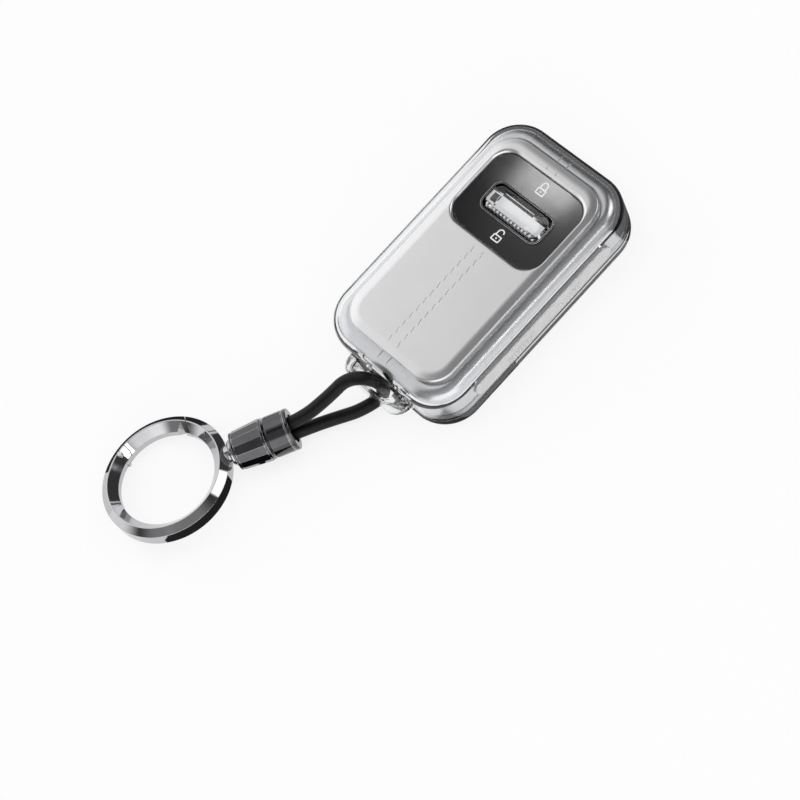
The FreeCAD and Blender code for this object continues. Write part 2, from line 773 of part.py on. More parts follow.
collar = spindle(collar_start, collar_end, collar_radius)
collar_rims = [e for e in collar.Edges if e.BoundBox.XLength < fit_gap]
collar = collar.makeFillet(collar_groove_width, collar_rims)
groove_start = collar_end - collar_lip - collar_groove_width
groove_end = groove_start + collar_groove_width
groove = spindle(groove_start, groove_end, collar_radius + overrun)
groove = groove.cut(spindle(groove_start, groove_end, collar_radius - collar_groove_depth))
collar = collar.cut(groove)
collar = collar.fuse(spindle(neck_start, collar_start, neck_radius))
collar = collar.cut(spindle(neck_start - overrun, collar_end + overrun, ferrule_bore))
ferrule_collar = keep("ferrule_collar", placed(collar, 0))

# Cord: straight runs joined by arcs, from the ferrule round the lug's bar and back
pair_lean = math.radians(cord_pair_turn)
pair_offset = V(0, math.cos(pair_lean), math.sin(pair_lean)) * (cord_spacing / 2)


def lanyard_point(along, offset):
    turn = math.radians(lanyard_turn)
    point = V(along, 0, 0) + offset
    x = point.x * math.cos(turn) - point.y * math.sin(turn)
    y = point.x * math.sin(turn) + point.y * math.cos(turn)
    return V(x + ring_x, y + ring_y, point.z + lanyard_height)


cord_points = [
    lanyard_point(collar_end - cord_in_ferrule, pair_offset),
    lanyard_point(collar_end + cord_upper_exit, pair_offset),
]
cord_points += [V(*p) for p in cord_route]
cord_points += [
    lanyard_point(collar_end + cord_lower_exit, -pair_offset),
    lanyard_point(collar_end - cord_in_ferrule / 2, -pair_offset),
]


def cord_wire(points):
    """Runs and arcs through the points, each arc as large as its runs allow."""
    edges = []
    radii = []
    at = points[0]
    for before, point, after in zip(points, points[1:], points[2:]):
        back_way = before - point
        on_way = after - point
        cut = cord_run_share * min(back_way.Length, on_way.Length)
        back_way.normalize()
        on_way.normalize()
        half = (math.pi - back_way.getAngle(on_way)) / 2
        radius = cut / math.tan(half)
        first = point + back_way * cut
        last = point + on_way * cut
        inward = back_way + on_way
        inward.normalize()
        middle = point + inward * (radius / math.cos(half) - radius)
        edges.append(Part.LineSegment(at, first).toShape())
        edges.append(Part.Arc(first, middle, last).toShape())
        radii.append(round(radius, 2))
        at = last
    edges.append(Part.LineSegment(at, points[-1]).toShape())
    return Part.Wire(edges), radii


wire, radii = cord_wire(cord_points)
start_way = cord_points[1] - cord_points[0]
end_circle = Part.Wire(Part.makeCircle(cord_radius, cord_points[0], start_way))
cord = wire.makePipeShell([end_circle], True, True)
print("cord radii", radii, "length", round(wire.Length, 2))
print("cord volume", round(cord.Volume, 2), "against", round(math.pi * cord_radius ** 2 * wire.Length, 2))
cord_loop = keep("cord_loop", cord)

plug = spindle(plug_start, plug_end, ferrule_bore - fit_gap)
for side in (1, -1):
    start = pair_offset * side + V(plug_start - overrun, 0, 0)
    plug = plug.cut(rod(start, ALONG, cord_radius + fit_gap, plug_end - plug_start + 2 * overrun))
cord_plug = keep("cord_plug", placed(plug, 0))
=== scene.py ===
import math

import bmesh
import bpy
from bpy.props import FloatProperty, FloatVectorProperty, PointerProperty
from mathutils import Matrix, Vector


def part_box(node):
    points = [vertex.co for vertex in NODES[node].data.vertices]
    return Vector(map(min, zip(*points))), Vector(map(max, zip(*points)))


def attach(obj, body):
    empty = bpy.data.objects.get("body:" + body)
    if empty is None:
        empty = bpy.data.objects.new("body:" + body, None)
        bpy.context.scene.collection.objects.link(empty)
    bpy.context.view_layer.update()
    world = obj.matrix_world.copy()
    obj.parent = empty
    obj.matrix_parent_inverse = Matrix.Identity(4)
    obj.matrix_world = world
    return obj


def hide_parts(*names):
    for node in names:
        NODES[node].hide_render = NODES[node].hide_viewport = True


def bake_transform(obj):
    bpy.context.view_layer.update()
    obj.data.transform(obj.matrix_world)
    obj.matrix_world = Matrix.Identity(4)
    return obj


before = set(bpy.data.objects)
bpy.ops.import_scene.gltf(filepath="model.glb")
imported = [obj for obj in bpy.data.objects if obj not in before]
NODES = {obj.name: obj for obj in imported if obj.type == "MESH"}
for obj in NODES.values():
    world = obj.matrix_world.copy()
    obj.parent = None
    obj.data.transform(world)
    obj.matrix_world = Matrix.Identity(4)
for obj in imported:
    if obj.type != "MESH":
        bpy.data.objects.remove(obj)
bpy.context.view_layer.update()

bl_info = {
    "name": "Clear key fob cover",
    "version": (1, 0, 0),
    "blender": (4, 5, 0),
    "location": "View3D > Sidebar > Fob cover",
    "description": "Finishes a clear key fob cover with its cord, ferrule and ring",
    "category": "Object",
}

MM = 0.001

# The cord's way, in metres: out of the ferrule, over the lug's bar, under it and back.
CORD_ROUTE = [
    (-0.070732, 0.014988, 0.008253),
    (-0.062271, 0.010452, 0.008253),
    (-0.053000, 0.006900, 0.012300),
    (-0.045800, 0.004400, 0.016700),
    (-0.041100, -0.003400, 0.017200),
    (-0.041500, 0.000000, 0.001600),
    (-0.049400, 0.002000, 0.002400),
    (-0.054500, 0.005400, 0.002400),
    (-0.061205, 0.008632, 0.004147),
    (-0.068343, 0.012460, 0.004147),
]

# Steps along each of the cord's runs and round it, and the two places it bends between.
CORD_STEPS = 24
CORD_ROUND_STEPS = 8

# Middles of the printed padlocks' bodies on the button panel.
CLOSED_PADLOCK = (0.02545, -0.0008)
OPEN_PADLOCK = (0.0081, -0.00042)

# A padlock's measures as shares of its body's width, the steps in its round parts, and the
# thickness of the print.
PADLOCK_HEIGHT = 0.72
PADLOCK_CORNER = 0.13
PADLOCK_KEYHOLE = 0.09
PADLOCK_ARCH = 0.31
PADLOCK_LEG = 0.33
CORNER_STEPS = 5
KEYHOLE_STEPS = 16
ARCH_STEPS = 14
PRINT_THICKNESS = 0.06 * MM

# Pitch of the ribs under the crystal, the width of a change of tone along their row and across
# each rib, where their row ends and the painted shade of the dark far side starts, and the
# middle and half size of the painted shade of the dark window under the crystal's left end.
RIB_PITCH = 1.3 * MM
RIB_EDGE = RIB_PITCH / 10
RIB_TURN = (0.4 * RIB_PITCH / 2, 0.55 * RIB_PITCH / 2)
RIB_ROW_END = 15.1 * MM
PAINTED_SHADE_SIDE_START = 18.3 * MM
PAINTED_SHADE_WINDOW = (16.9 * MM, 7.6 * MM)
PAINTED_SHADE_WINDOW_HALF = 1.1 * MM

# Where the camera stands and its own right, up and back directions.
CAMERA_PLACE = (-0.090395, -0.248462, 0.506268)
CAMERA_RIGHT = (0.674895, -0.688349, -0.265879)
CAMERA_UP = (0.732484, 0.581303, 0.354336)
CAMERA_BACK = (-0.089351, -0.433891, 0.896524)
CAMERA_LENS = 93.45
CAMERA_SENSOR = 36.0
CAMERA_NEAR = 0.01

# The studio round the object: how bright each side of it is, and between which values of a
# direction's x, y and z, or of its nearness to the window, that light grows from none to full.
LEFT_LIGHT = 1.12
LEFT_X, LEFT_Y = (0.72, 0.12), (0.18, 0.54)
FRONT_LIGHT = 1.15
FRONT_X, FRONT_Y, FRONT_Z = (0.35, -0.10), (-0.20, -0.45), (0.80, 0.62)
ABOVE_LIGHT = 0.25
ABOVE_X, ABOVE_Y = (0.45, 0.0), (0.25, -0.10)
WINDOW_LIGHT = 2.0
WINDOW_WAY = (0.68, -0.30, 0.67)
WINDOW_EDGE = (0.958, 0.970)
DIM_LIGHT = 0.06

# The floor, and cards flat on it that darken reflections: name, two corners and tone.
FLOOR_SIZE = 6.0
FLOOR_DROP = 0.3 * MM
CARD_DROP = 0.15 * MM
CARDS = (
    ("flag_far_end", (0.034, -0.15), (0.3, 0.15), 0.14),
    ("flag_corner", (-0.0415, -0.0245), (-0.012, -0.008), 0.25),
    ("flag_ring_back", (-0.112, 0.049), (-0.05, 0.075), 0.03),
    ("flag_ring_front", (-0.119, -0.008), (-0.078, 0.013), 0.03),
)

# Each lamp's place, what it is aimed at, its width and its height.
STRIP = ((0.09, -0.43, 0.41), (0.09, 0.0, 0.0), 0.2, 0.05)
GLEAM = ((0.048, 0.315, 0.62), (0.048, 0.315, 0.0), 0.136, 0.16)
FILL = ((0.0, 0.0, 1.2), (0.0, 0.0, 0.0), 1.2, 1.2)

# Between which values of their noises the tone and the marks change, and between which cosines
# of the angle from the flat to the rounded normal an edge takes its painted highlight.
TONE_SPAN = (0.35, 0.65)
MARKS_SPAN = (0.38, 0.66)
EDGE_SPAN = (0.998, 0.972)


def colour_property(name, description, default):
    return FloatVectorProperty(
        name=name, description=description, default=default, subtype="COLOR", size=3, min=0, max=1
    )


def length_property(name, description, default):
    return FloatProperty(name=name, description=description, default=default, unit="LENGTH", min=0)


def power_property(name, description, default):
    return FloatProperty(name=name, description=description, default=default, unit="POWER", min=0)


def share_property(name, description, default):
    return FloatProperty(
        name=name, description=description, default=default, subtype="FACTOR", min=0, max=1
    )


class CoverSettings(bpy.types.PropertyGroup):
    """Finishes of the cover itself."""

    silver: colour_property("Silver", "Satin silver of the face plate", (0.84, 0.84, 0.85))
    silver_shade: colour_property("Silver shade", "Darker drift in it", (0.824, 0.824, 0.835))
    clear: colour_property("Clear", "Tint of the clear shells", (0.90, 0.905, 0.915))
    panel: colour_property("Panel", "Glossy black of the button panel", (0.007, 0.007, 0.0078))
    panel_shade: colour_property("Panel shade", "Darker drift in it", (0.005, 0.005, 0.0056))
    print_white: colour_property("Print", "White of the printed padlocks", (0.9, 0.9, 0.9))
    padlock_width: length_property("Padlock width", "Width of a printed padlock's body", 2.85 * MM)
    padlock_stroke: length_property("Padlock stroke", "Width of a printed line", 0.36 * MM)


class LanyardSettings(bpy.types.PropertyGroup):
    """Finishes and sizes of the cord, ferrule and ring."""

    cord: colour_property("Cord", "Black of the waxed cord", (0.007, 0.007, 0.0075))
    cord_diameter: length_property("Cord diameter", "Thickness of the cord", 3.8 * MM)
    chrome: colour_property("Chrome", "Polished ring", (0.52, 0.52, 0.535))
    dark_chrome: colour_property("Dark chrome", "Polished dark ferrule", (0.115, 0.115, 0.121))


class StageSettings(bpy.types.PropertyGroup):
    """Floor and light."""

    floor: colour_property("Floor", "Pale floor", (0.93, 0.93, 0.93))
    shadow: share_property("Shadow", "How much of the floor's own light and shade shows", 0.2)
    strip_power: power_property("Strip", "Power of the strip at the right", 0.1)
    gleam_power: power_property("Gleam", "Power of the lamp for the button panel alone", 1.35)
    fill_power: power_property("Fill", "Power of the even light from above", 7.0)


def select_only(piece):
    bpy.ops.object.select_all(action="DESELECT")
    piece.select_set(True)
    bpy.context.view_layer.objects.active = piece


def select_edges(piece, test):
    """Selects, in edit mode, only the edges whose two ends pass a test."""
    form = bmesh.from_edit_mesh(piece.data)
    bpy.ops.mesh.select_all(action="DESELECT")
    for edge in form.edges:
        if test(edge.verts[0].co, edge.verts[1].co):
            edge.select_set(True)
    bmesh.update_edit_mesh(piece.data)


def select_faces(piece, test):
    """Selects, in edit mode, only the faces that pass a test."""
    form = bmesh.from_edit_mesh(piece.data)
    bpy.ops.mesh.select_all(action="DESELECT")
    for face in form.faces:
        face.select_set(test(face))
    bmesh.update_edit_mesh(piece.data)


def shaded(colour, share):
    return [channel * share for channel in colour]


def dress(material, *names):
    """Gives CAD pieces a material of their own."""
    for name in names:
        mesh = NODES[name].data
        mesh.materials.clear()
        mesh.materials.append(material)
        mesh.polygons.foreach_set("material_index", [0] * len(mesh.polygons))


def start_group(name, inputs, outputs):
    group = bpy.data.node_groups.new(name, "ShaderNodeTree")
    for label, kind, value in inputs:
        socket = group.interface.new_socket(label, in_out="INPUT", socket_type=kind)
        socket.default_value = value
    for label, kind in outputs:
        group.interface.new_socket(label, in_out="OUTPUT", socket_type=kind)
    return group, group.nodes.new("NodeGroupInput"), group.nodes.new("NodeGroupOutput")


def span_node(tree, span):
    """A value that grows from nothing at the span's start to one at its end."""
    node = tree.nodes.new("ShaderNodeMapRange")
    node.inputs["From Min"].default_value, node.inputs["From Max"].default_value = span
    return node


def math_node(tree, operation, first, second):
    """A step of reckoning on two outputs, or on an output and a number."""
    node = tree.nodes.new("ShaderNodeMath")
    node.operation = operation
    for socket, value in zip(node.inputs, (first, second)):
        if isinstance(value, bpy.types.NodeSocket):
            tree.links.new(value, socket)
        else:
            socket.default_value = value
    return node.outputs["Value"]


def colour_mix(tree):
    node = tree.nodes.new("ShaderNodeMix")
    node.data_type = "RGBA"
    return node


def noise_in(group, entry, detail, rough):
    """A noise on the piece's own coordinates, at the group's Scale."""
    place = group.nodes.new("ShaderNodeTexCoord")
    noise = group.nodes.new("ShaderNodeTexNoise")
    noise.inputs["Detail"].default_value = detail
    noise.inputs["Roughness"].default_value = rough
    group.links.new(place.outputs["Object"], noise.inputs["Vector"])
    group.links.new(entry.outputs["Scale"], noise.inputs["Scale"])
    return noise


def tone_drift_group():
    """A slow drift between two tones of one colour."""
    group, entry, leave = start_group(
        "Tone drift",
        [
            ("Light", "NodeSocketColor", (0.8, 0.8, 0.8, 1.0)),
            ("Dark", "NodeSocketColor", (0.7, 0.7, 0.7, 1.0)),
            ("Scale", "NodeSocketFloat", 60.0),
        ],
        [("Colour", "NodeSocketColor")],
    )
    noise = noise_in(group, entry, detail=3.0, rough=0.55)
    spread = span_node(group, TONE_SPAN)
    blend = colour_mix(group)
    group.links.new(noise.outputs["Fac"], spread.inputs["Value"])
    group.links.new(spread.outputs["Result"], blend.inputs["Factor"])
    group.links.new(entry.outputs["Dark"], blend.inputs["A"])
    group.links.new(entry.outputs["Light"], blend.inputs["B"])
    group.links.new(blend.outputs["Result"], leave.inputs["Colour"])
    return group


def handling_group():
    """Faint marks of handling, as a value between two limits."""
    group, entry, leave = start_group(
        "Handling marks",
        [
            ("Scale", "NodeSocketFloat", 120.0),
            ("Low", "NodeSocketFloat", 0.05),
            ("High", "NodeSocketFloat", 0.1),
        ],
        [("Value", "NodeSocketFloat")],
    )
    noise = noise_in(group, entry, detail=6.0, rough=0.62)
    spread = span_node(group, MARKS_SPAN)
    group.links.new(noise.outputs["Fac"], spread.inputs["Value"])
    group.links.new(entry.outputs["Low"], spread.inputs["To Min"])
    group.links.new(entry.outputs["High"], spread.inputs["To Max"])
    group.links.new(spread.outputs["Result"], leave.inputs["Value"])
    return group


def grain_group():
    """A fine grain as a height."""
    group, entry, leave = start_group(
        "Fine grain", [("Scale", "NodeSocketFloat", 4000.0)], [("Height", "NodeSocketFloat")]
    )
    noise = noise_in(group, entry, detail=2.0, rough=0.5)
    group.links.new(noise.outputs["Fac"], leave.inputs["Height"])
    return group


def ribs_painted_shade_group():
    """Light ribs and painted shade: dark grooves, a dark far side and a dark window."""
    group, entry, leave = start_group(
        "Ribs painted shade",
        [
            ("Light", "NodeSocketColor", (0.8, 0.8, 0.8, 1.0)),
            ("Dark", "NodeSocketColor", (0.01, 0.01, 0.01, 1.0)),
        ],
        [("Colour", "NodeSocketColor")],
    )
    place = group.nodes.new("ShaderNodeTexCoord")
    axes = group.nodes.new("ShaderNodeSeparateXYZ")
    group.links.new(place.outputs["Object"], axes.inputs["Vector"])
    x, y = axes.outputs["X"], axes.outputs["Y"]
    rib = span_node(group, RIB_TURN)
    group.links.new(math_node(group, "PINGPONG", y, RIB_PITCH / 2), rib.inputs["Value"])
    beyond = span_node(group, (RIB_ROW_END, RIB_ROW_END + RIB_EDGE))
    group.links.new(x, beyond.inputs["Value"])
    before = span_node(group, (PAINTED_SHADE_SIDE_START + RIB_EDGE, PAINTED_SHADE_SIDE_START))
    group.links.new(x, before.inputs["Value"])
    light = math_node(group, "MAXIMUM", rib.outputs["Result"], beyond.outputs["Result"])
    light = math_node(group, "MINIMUM", light, before.outputs["Result"])
    window = []
    for value, middle in zip((x, y), PAINTED_SHADE_WINDOW):
        near = math_node(group, "COMPARE", value, middle)
        near.node.inputs[2].default_value = PAINTED_SHADE_WINDOW_HALF
        window.append(near)
    light = math_node(group, "SUBTRACT", light, math_node(group, "MULTIPLY", *window))
    light.node.use_clamp = True
    blend = colour_mix(group)
    group.links.new(light, blend.inputs["Factor"])
    group.links.new(entry.outputs["Dark"], blend.inputs["A"])
    group.links.new(entry.outputs["Light"], blend.inputs["B"])
    group.links.new(blend.outputs["Result"], leave.inputs["Colour"])
    return group


def shared(name, maker):
    """A shader group that is built once."""
    return bpy.data.node_groups.get(name) or maker()


class Finish:
    """A node material under construction."""

    def __init__(self, name):
        self.material = bpy.data.materials.new(name)
        self.material.use_nodes = True
        self.tree = self.material.node_tree
        self.shader = self.tree.nodes["Principled BSDF"]

    def set(self, **values):
        """Sets the shader's own sockets, named with underscores for spaces."""
        for label, value in values.items():
            self.shader.inputs[label.replace("_", " ")].default_value = value
        return self

    def place(self, group, **values):
        node = self.tree.nodes.new("ShaderNodeGroup")
        node.node_tree = group
        for label, value in values.items():
            node.inputs[label].default_value = value
        return node

    def tone(self, light, dark, scale):
        group = shared("Tone drift", tone_drift_group)
        node = self.place(group, Light=(*light, 1), Dark=(*dark, 1), Scale=scale)
        self.tree.links.new(node.outputs["Colour"], self.shader.inputs["Base Color"])
        return self

    def marks(self, low, high, scale):
        node = self.place(shared("Handling marks", handling_group), Low=low, High=high, Scale=scale)
        self.tree.links.new(node.outputs["Value"], self.shader.inputs["Roughness"])
        return self

    def grain(self, scale, strength, distance, edge=0.0):
        """A bumped grain, over softened edges where an edge radius is given."""
        node = self.place(shared("Fine grain", grain_group), Scale=scale)
        bump = self.tree.nodes.new("ShaderNodeBump")
        bump.inputs["Strength"].default_value = strength
        bump.inputs["Distance"].default_value = distance
        self.tree.links.new(node.outputs["Height"], bump.inputs["Height"])
        if edge:
            self.tree.links.new(self.rounded(edge, samples=6), bump.inputs["Normal"])
        self.tree.links.new(bump.outputs["Normal"], self.shader.inputs["Normal"])
        return self

    def rounded(self, radius, samples):
        """The normal as if edges were rounded."""
        soft = self.tree.nodes.new("ShaderNodeBevel")
        soft.samples = samples
        soft.inputs["Radius"].default_value = radius
        return soft.outputs["Normal"]

    def painted_edge_highlight(self, bare, radius):
        """Paints the colour given as bare along the edges as a painted highlight."""
        tone = self.shader.inputs["Base Color"].links[0].from_socket
        flat = self.tree.nodes.new("ShaderNodeNewGeometry")
        alike = self.tree.nodes.new("ShaderNodeVectorMath")
        alike.operation = "DOT_PRODUCT"
        spread = span_node(self.tree, EDGE_SPAN)
        blend = colour_mix(self.tree)
        blend.inputs["B"].default_value = (*bare, 1)
        self.tree.links.new(self.rounded(radius, samples=8), alike.inputs[0])
        self.tree.links.new(flat.outputs["Normal"], alike.inputs[1])
        self.tree.links.new(alike.outputs["Value"], spread.inputs["Value"])
        self.tree.links.new(spread.outputs["Result"], blend.inputs["Factor"])
        self.tree.links.new(tone, blend.inputs["A"])
        self.tree.links.new(blend.outputs["Result"], self.shader.inputs["Base Color"])
        return self

    def ribs_painted_shade(self, light, dark):
        """The carrier light, with painted shade in its grooves, far side and window."""
        node = self.place(shared("Ribs painted shade", ribs_painted_shade_group), Light=(*light, 1), Dark=(*dark, 1))
        self.tree.links.new(node.outputs["Colour"], self.shader.inputs["Base Color"])
        return self

    def let_lamps_through(self):
        """Shadow rays pass, so that lamps light what lies inside."""
        path = self.tree.nodes.new("ShaderNodeLightPath")
        gone = self.tree.nodes.new("ShaderNodeBsdfTransparent")
        mix = self.tree.nodes.new("ShaderNodeMixShader")
        out = self.tree.nodes["Material Output"]
        self.tree.links.new(path.outputs["Is Shadow Ray"], mix.inputs["Fac"])
        self.tree.links.new(self.shader.outputs["BSDF"], mix.inputs[1])
        self.tree.links.new(gone.outputs["BSDF"], mix.inputs[2])
        self.tree.links.new(mix.outputs["Shader"], out.inputs["Surface"])
        return self


class FOB_OT_camera(bpy.types.Operator):
    """Sets up the camera at the photograph's viewing angle"""

    bl_idname = "fob.camera"
    bl_label = "Camera"

    def execute(self, context):
        lens = bpy.data.cameras.new("camera")
        lens.lens = CAMERA_LENS
        lens.sensor_width = CAMERA_SENSOR
        lens.clip_start = CAMERA_NEAR
        camera = bpy.data.objects.new("camera", lens)
        context.scene.collection.objects.link(camera)
        turn = Matrix((CAMERA_RIGHT, CAMERA_UP, CAMERA_BACK)).transposed().to_4x4()
        camera.matrix_world = Matrix.Translation(CAMERA_PLACE) @ turn
        context.scene.camera = camera
        return {"FINISHED"}


class FOB_OT_cord(bpy.types.Operator):
    """Runs the black cord from the ferrule round the lug's bar and back"""

    bl_idname = "fob.cord"
    bl_label = "Cord"

    def execute(self, context):
        settings = context.scene.fob_lanyard
        line = bpy.data.curves.new("cord_line", "CURVE")
        line.dimensions = "3D"
        line.resolution_u = CORD_STEPS
        spline = line.splines.new("NURBS")
        spline.points.add(len(CORD_ROUTE) - 1)
        for point, place in zip(spline.points, CORD_ROUTE):
            point.co = (*place, 1.0)
        spline.order_u = 3
        spline.use_endpoint_u = True
        cord = bpy.data.objects.new("cord", line)
        context.scene.collection.objects.link(cord)
        bare = bpy.data.meshes.new_from_object(cord)
        bpy.data.meshes.remove(bare)
        line.bevel_depth = settings.cord_diameter / 2
        line.bevel_resolution = CORD_ROUND_STEPS
        line.use_fill_caps = True
        select_only(cord)
        bpy.ops.object.convert(target="MESH")
        cord = context.view_layer.objects.active
        bpy.ops.object.shade_smooth()
        finish = Finish("waxed_cord").set(IOR=1.5, Specular_IOR_Level=0.2)
        finish.tone(light=settings.cord, dark=shaded(settings.cord, share=0.6), scale=300.0)
        finish.marks(low=0.34, high=0.44, scale=500.0)
        finish.grain(scale=2600.0, strength=0.2, distance=0.06 * MM)
        cord.data.materials.clear()
        cord.data.materials.append(finish.material)
        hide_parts("cord_loop")
        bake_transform(cord)
        on_it = ("ferrule_body", "ferrule_collar", "cord_plug", "swivel_washer", "swivel_stud")
        on_it += ("ring_body", "ring_gate", "gate_pin", "gate_spring")
        return {"FINISHED"}


class FOB_OT_clear_shells(bpy.types.Operator):
    """Finishes the clear shells and the grips in their sides"""

    bl_idname = "fob.clear_shells"
    bl_label = "Clear shells"

    def execute(self, context):
        tint = context.scene.fob_cover.clear
        clear = Finish("clear_shell")
        clear.set(Base_Color=(*tint, 1), Transmission_Weight=1.0, IOR=1.49)
        clear.marks(low=0.01, high=0.035, scale=90.0).let_lamps_through()
        dress(clear.material, "front_shell", "back_shell")
        grip = Finish("clear_grip").set(Transmission_Weight=0.3, IOR=1.49)
        grip.tone(light=(0.86, 0.86, 0.87), dark=(0.78, 0.78, 0.79), scale=90.0)
        grip.marks(low=0.10, high=0.18, scale=200.0).let_lamps_through()
        dress(grip.material, "side_grip_left", "side_grip_right")
        return {"FINISHED"}


class FOB_OT_silver(bpy.types.Operator):
    """Finishes the satin silver face plate, back plate and rocker carrier"""

    bl_idname = "fob.silver"
    bl_label = "Silver plates"

    def execute(self, context):
        cover = context.scene.fob_cover
        silver = Finish("satin_silver").set(Metallic=1.0)
        silver.tone(light=cover.silver, dark=cover.silver_shade, scale=35.0)
        silver.marks(low=0.31, high=0.33, scale=150.0)
        silver.grain(scale=5200.0, strength=0.06, distance=0.04 * MM, edge=0.12 * MM)
        dress(silver.material, "face_plate", "back_plate")
        bright = Finish("bright_carrier").set(Metallic=0.2)
        # The carrier's grooves, far side and window under the crystal are painted shade.
        bright.ribs_painted_shade(light=(0.9, 0.9, 0.91), dark=(0.008, 0.008, 0.008))
        bright.marks(low=0.2, high=0.28, scale=400.0)
        bright.grain(scale=5200.0, strength=0.05, distance=0.04 * MM, edge=0.06 * MM)
        dress(bright.material, "rocker_frame")
        return {"FINISHED"}


class FOB_OT_button_panel(bpy.types.Operator):
    """Finishes the dark dished panel and the thin frame round the rocker"""

    bl_idname = "fob.button_panel"
    bl_label = "Button panel"

    def execute(self, context):
        cover = context.scene.fob_cover
        panel = Finish("dark_panel").set(IOR=1.4)
        panel.tone(light=cover.panel, dark=cover.panel_shade, scale=50.0)
        panel.marks(low=0.15, high=0.18, scale=160.0)
        panel.grain(scale=4200.0, strength=0.04, distance=0.03 * MM, edge=0.15 * MM)
        dress(panel.material, "button_bezel")
        trim = Finish("satin_trim").set(Metallic=1.0)
        trim.tone(light=(0.06, 0.06, 0.064), dark=(0.045, 0.045, 0.048), scale=300.0)
        trim.marks(low=0.2, high=0.28, scale=300.0)
        # A painted highlight of silver along the trim's edges.
        trim.painted_edge_highlight(cover.silver, radius=0.18 * MM)
        trim.grain(scale=4200.0, strength=0.05, distance=0.03 * MM, edge=0.1 * MM)
        dress(trim.material, "rocker_trim")
        return {"FINISHED"}


class FOB_OT_padlocks(bpy.types.Operator):
    """Prints a closed and an open padlock on the button panel"""

    bl_idname = "fob.padlocks"
    bl_label = "Printed padlocks"

    def model(self, name, cover, closed):
        """A padlock lying flat round the origin: outlined body, keyhole and shackle."""
        width, stroke = cover.padlock_width, cover.padlock_stroke
        height = PADLOCK_HEIGHT * width
        arch = PADLOCK_ARCH * width
        leg = PADLOCK_LEG * width
        corner = PADLOCK_CORNER * width
        keyhole = PADLOCK_KEYHOLE * width
        leg_top = height / 2 + leg
        bpy.ops.object.select_all(action="DESELECT")
        bpy.ops.mesh.primitive_plane_add(size=width)
        icon = bpy.context.view_layer.objects.active
        icon.name = name
        bpy.ops.object.mode_set(mode="EDIT")
        bpy.ops.transform.resize(value=(1, height / width, 1))
        bpy.ops.mesh.bevel(offset=corner, segments=CORNER_STEPS, affect="VERTICES")
        bpy.ops.mesh.select_all(action="SELECT")
        bpy.ops.mesh.inset(thickness=stroke)
        bpy.ops.mesh.delete(type="FACE")
        bpy.ops.mesh.primitive_circle_add(vertices=KEYHOLE_STEPS, radius=keyhole, fill_type="NGON")
        bpy.ops.mesh.primitive_plane_add(size=stroke, location=(-arch, leg_top - stroke / 2, 0))
        bpy.ops.transform.resize(value=(1, leg / stroke, 1), center_override=(-arch, leg_top, 0))
        select_edges(icon, lambda a, b: min(a.y, b.y) > leg_top - stroke / 10)
        middle = (0, leg_top, 0)
        bpy.ops.mesh.spin(steps=ARCH_STEPS, angle=math.pi, center=middle, axis=(0, 0, 1))
        if closed:
            bpy.ops.mesh.extrude_region_move(TRANSFORM_OT_translate={"value": (0, -leg, 0)})
        select_faces(icon, lambda face: face.normal.z < 0.0)
        bpy.ops.mesh.flip_normals()
        bpy.ops.object.mode_set(mode="OBJECT")
        return icon

    def execute(self, context):
        cover = context.scene.fob_cover
        ink = Finish("white_print").set(IOR=1.5)
        ink.tone(light=cover.print_white, dark=shaded(cover.print_white, share=0.94), scale=900.0)
        ink.marks(low=0.4, high=0.5, scale=900.0)
        ink.grain(scale=6000.0, strength=0.08, distance=0.02 * MM)
        for name, middle, closed in (
            ("padlock_closed", CLOSED_PADLOCK, True),
            ("padlock_open", OPEN_PADLOCK, False),
        ):
            icon = self.model(name, cover, closed)
            icon.location = (*middle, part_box("button_bezel")[1][2])
            icon.rotation_euler = (0.0, 0.0, -math.pi / 2)
            bpy.ops.object.transform_apply(location=True, rotation=True, scale=True)
            laid = icon.modifiers.new("laid_on_panel", "SHRINKWRAP")
            laid.target = NODES["button_bezel"]
            laid.wrap_method = "PROJECT"
            laid.use_project_z = True
            laid.use_negative_direction = True
            laid.use_positive_direction = False
            film = icon.modifiers.new("film", "SOLIDIFY")
            film.thickness = PRINT_THICKNESS
            film.offset = 1.0
            for step in (laid.name, film.name):
                bpy.ops.object.modifier_apply(modifier=step)
            icon.data.materials.append(ink.material)
            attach(icon, "front_half")
        return {"FINISHED"}


class FOB_OT_rocker(bpy.types.Operator):
    """Finishes the cut crystal of the rocker"""

    bl_idname = "fob.rocker"
    bl_label = "Rocker crystal"

    def execute(self, context):
        crystal = Finish("cut_crystal")
        crystal.set(Base_Color=(0.985, 0.99, 1.0, 1), Transmission_Weight=1.0, IOR=1.58)
        crystal.marks(low=0.0, high=0.015, scale=300.0)
        crystal.grain(scale=3000.0, strength=0.02, distance=0.01 * MM, edge=0.3 * MM)
        crystal.let_lamps_through()
        dress(crystal.material, "rocker_crystal")
        return {"FINISHED"}


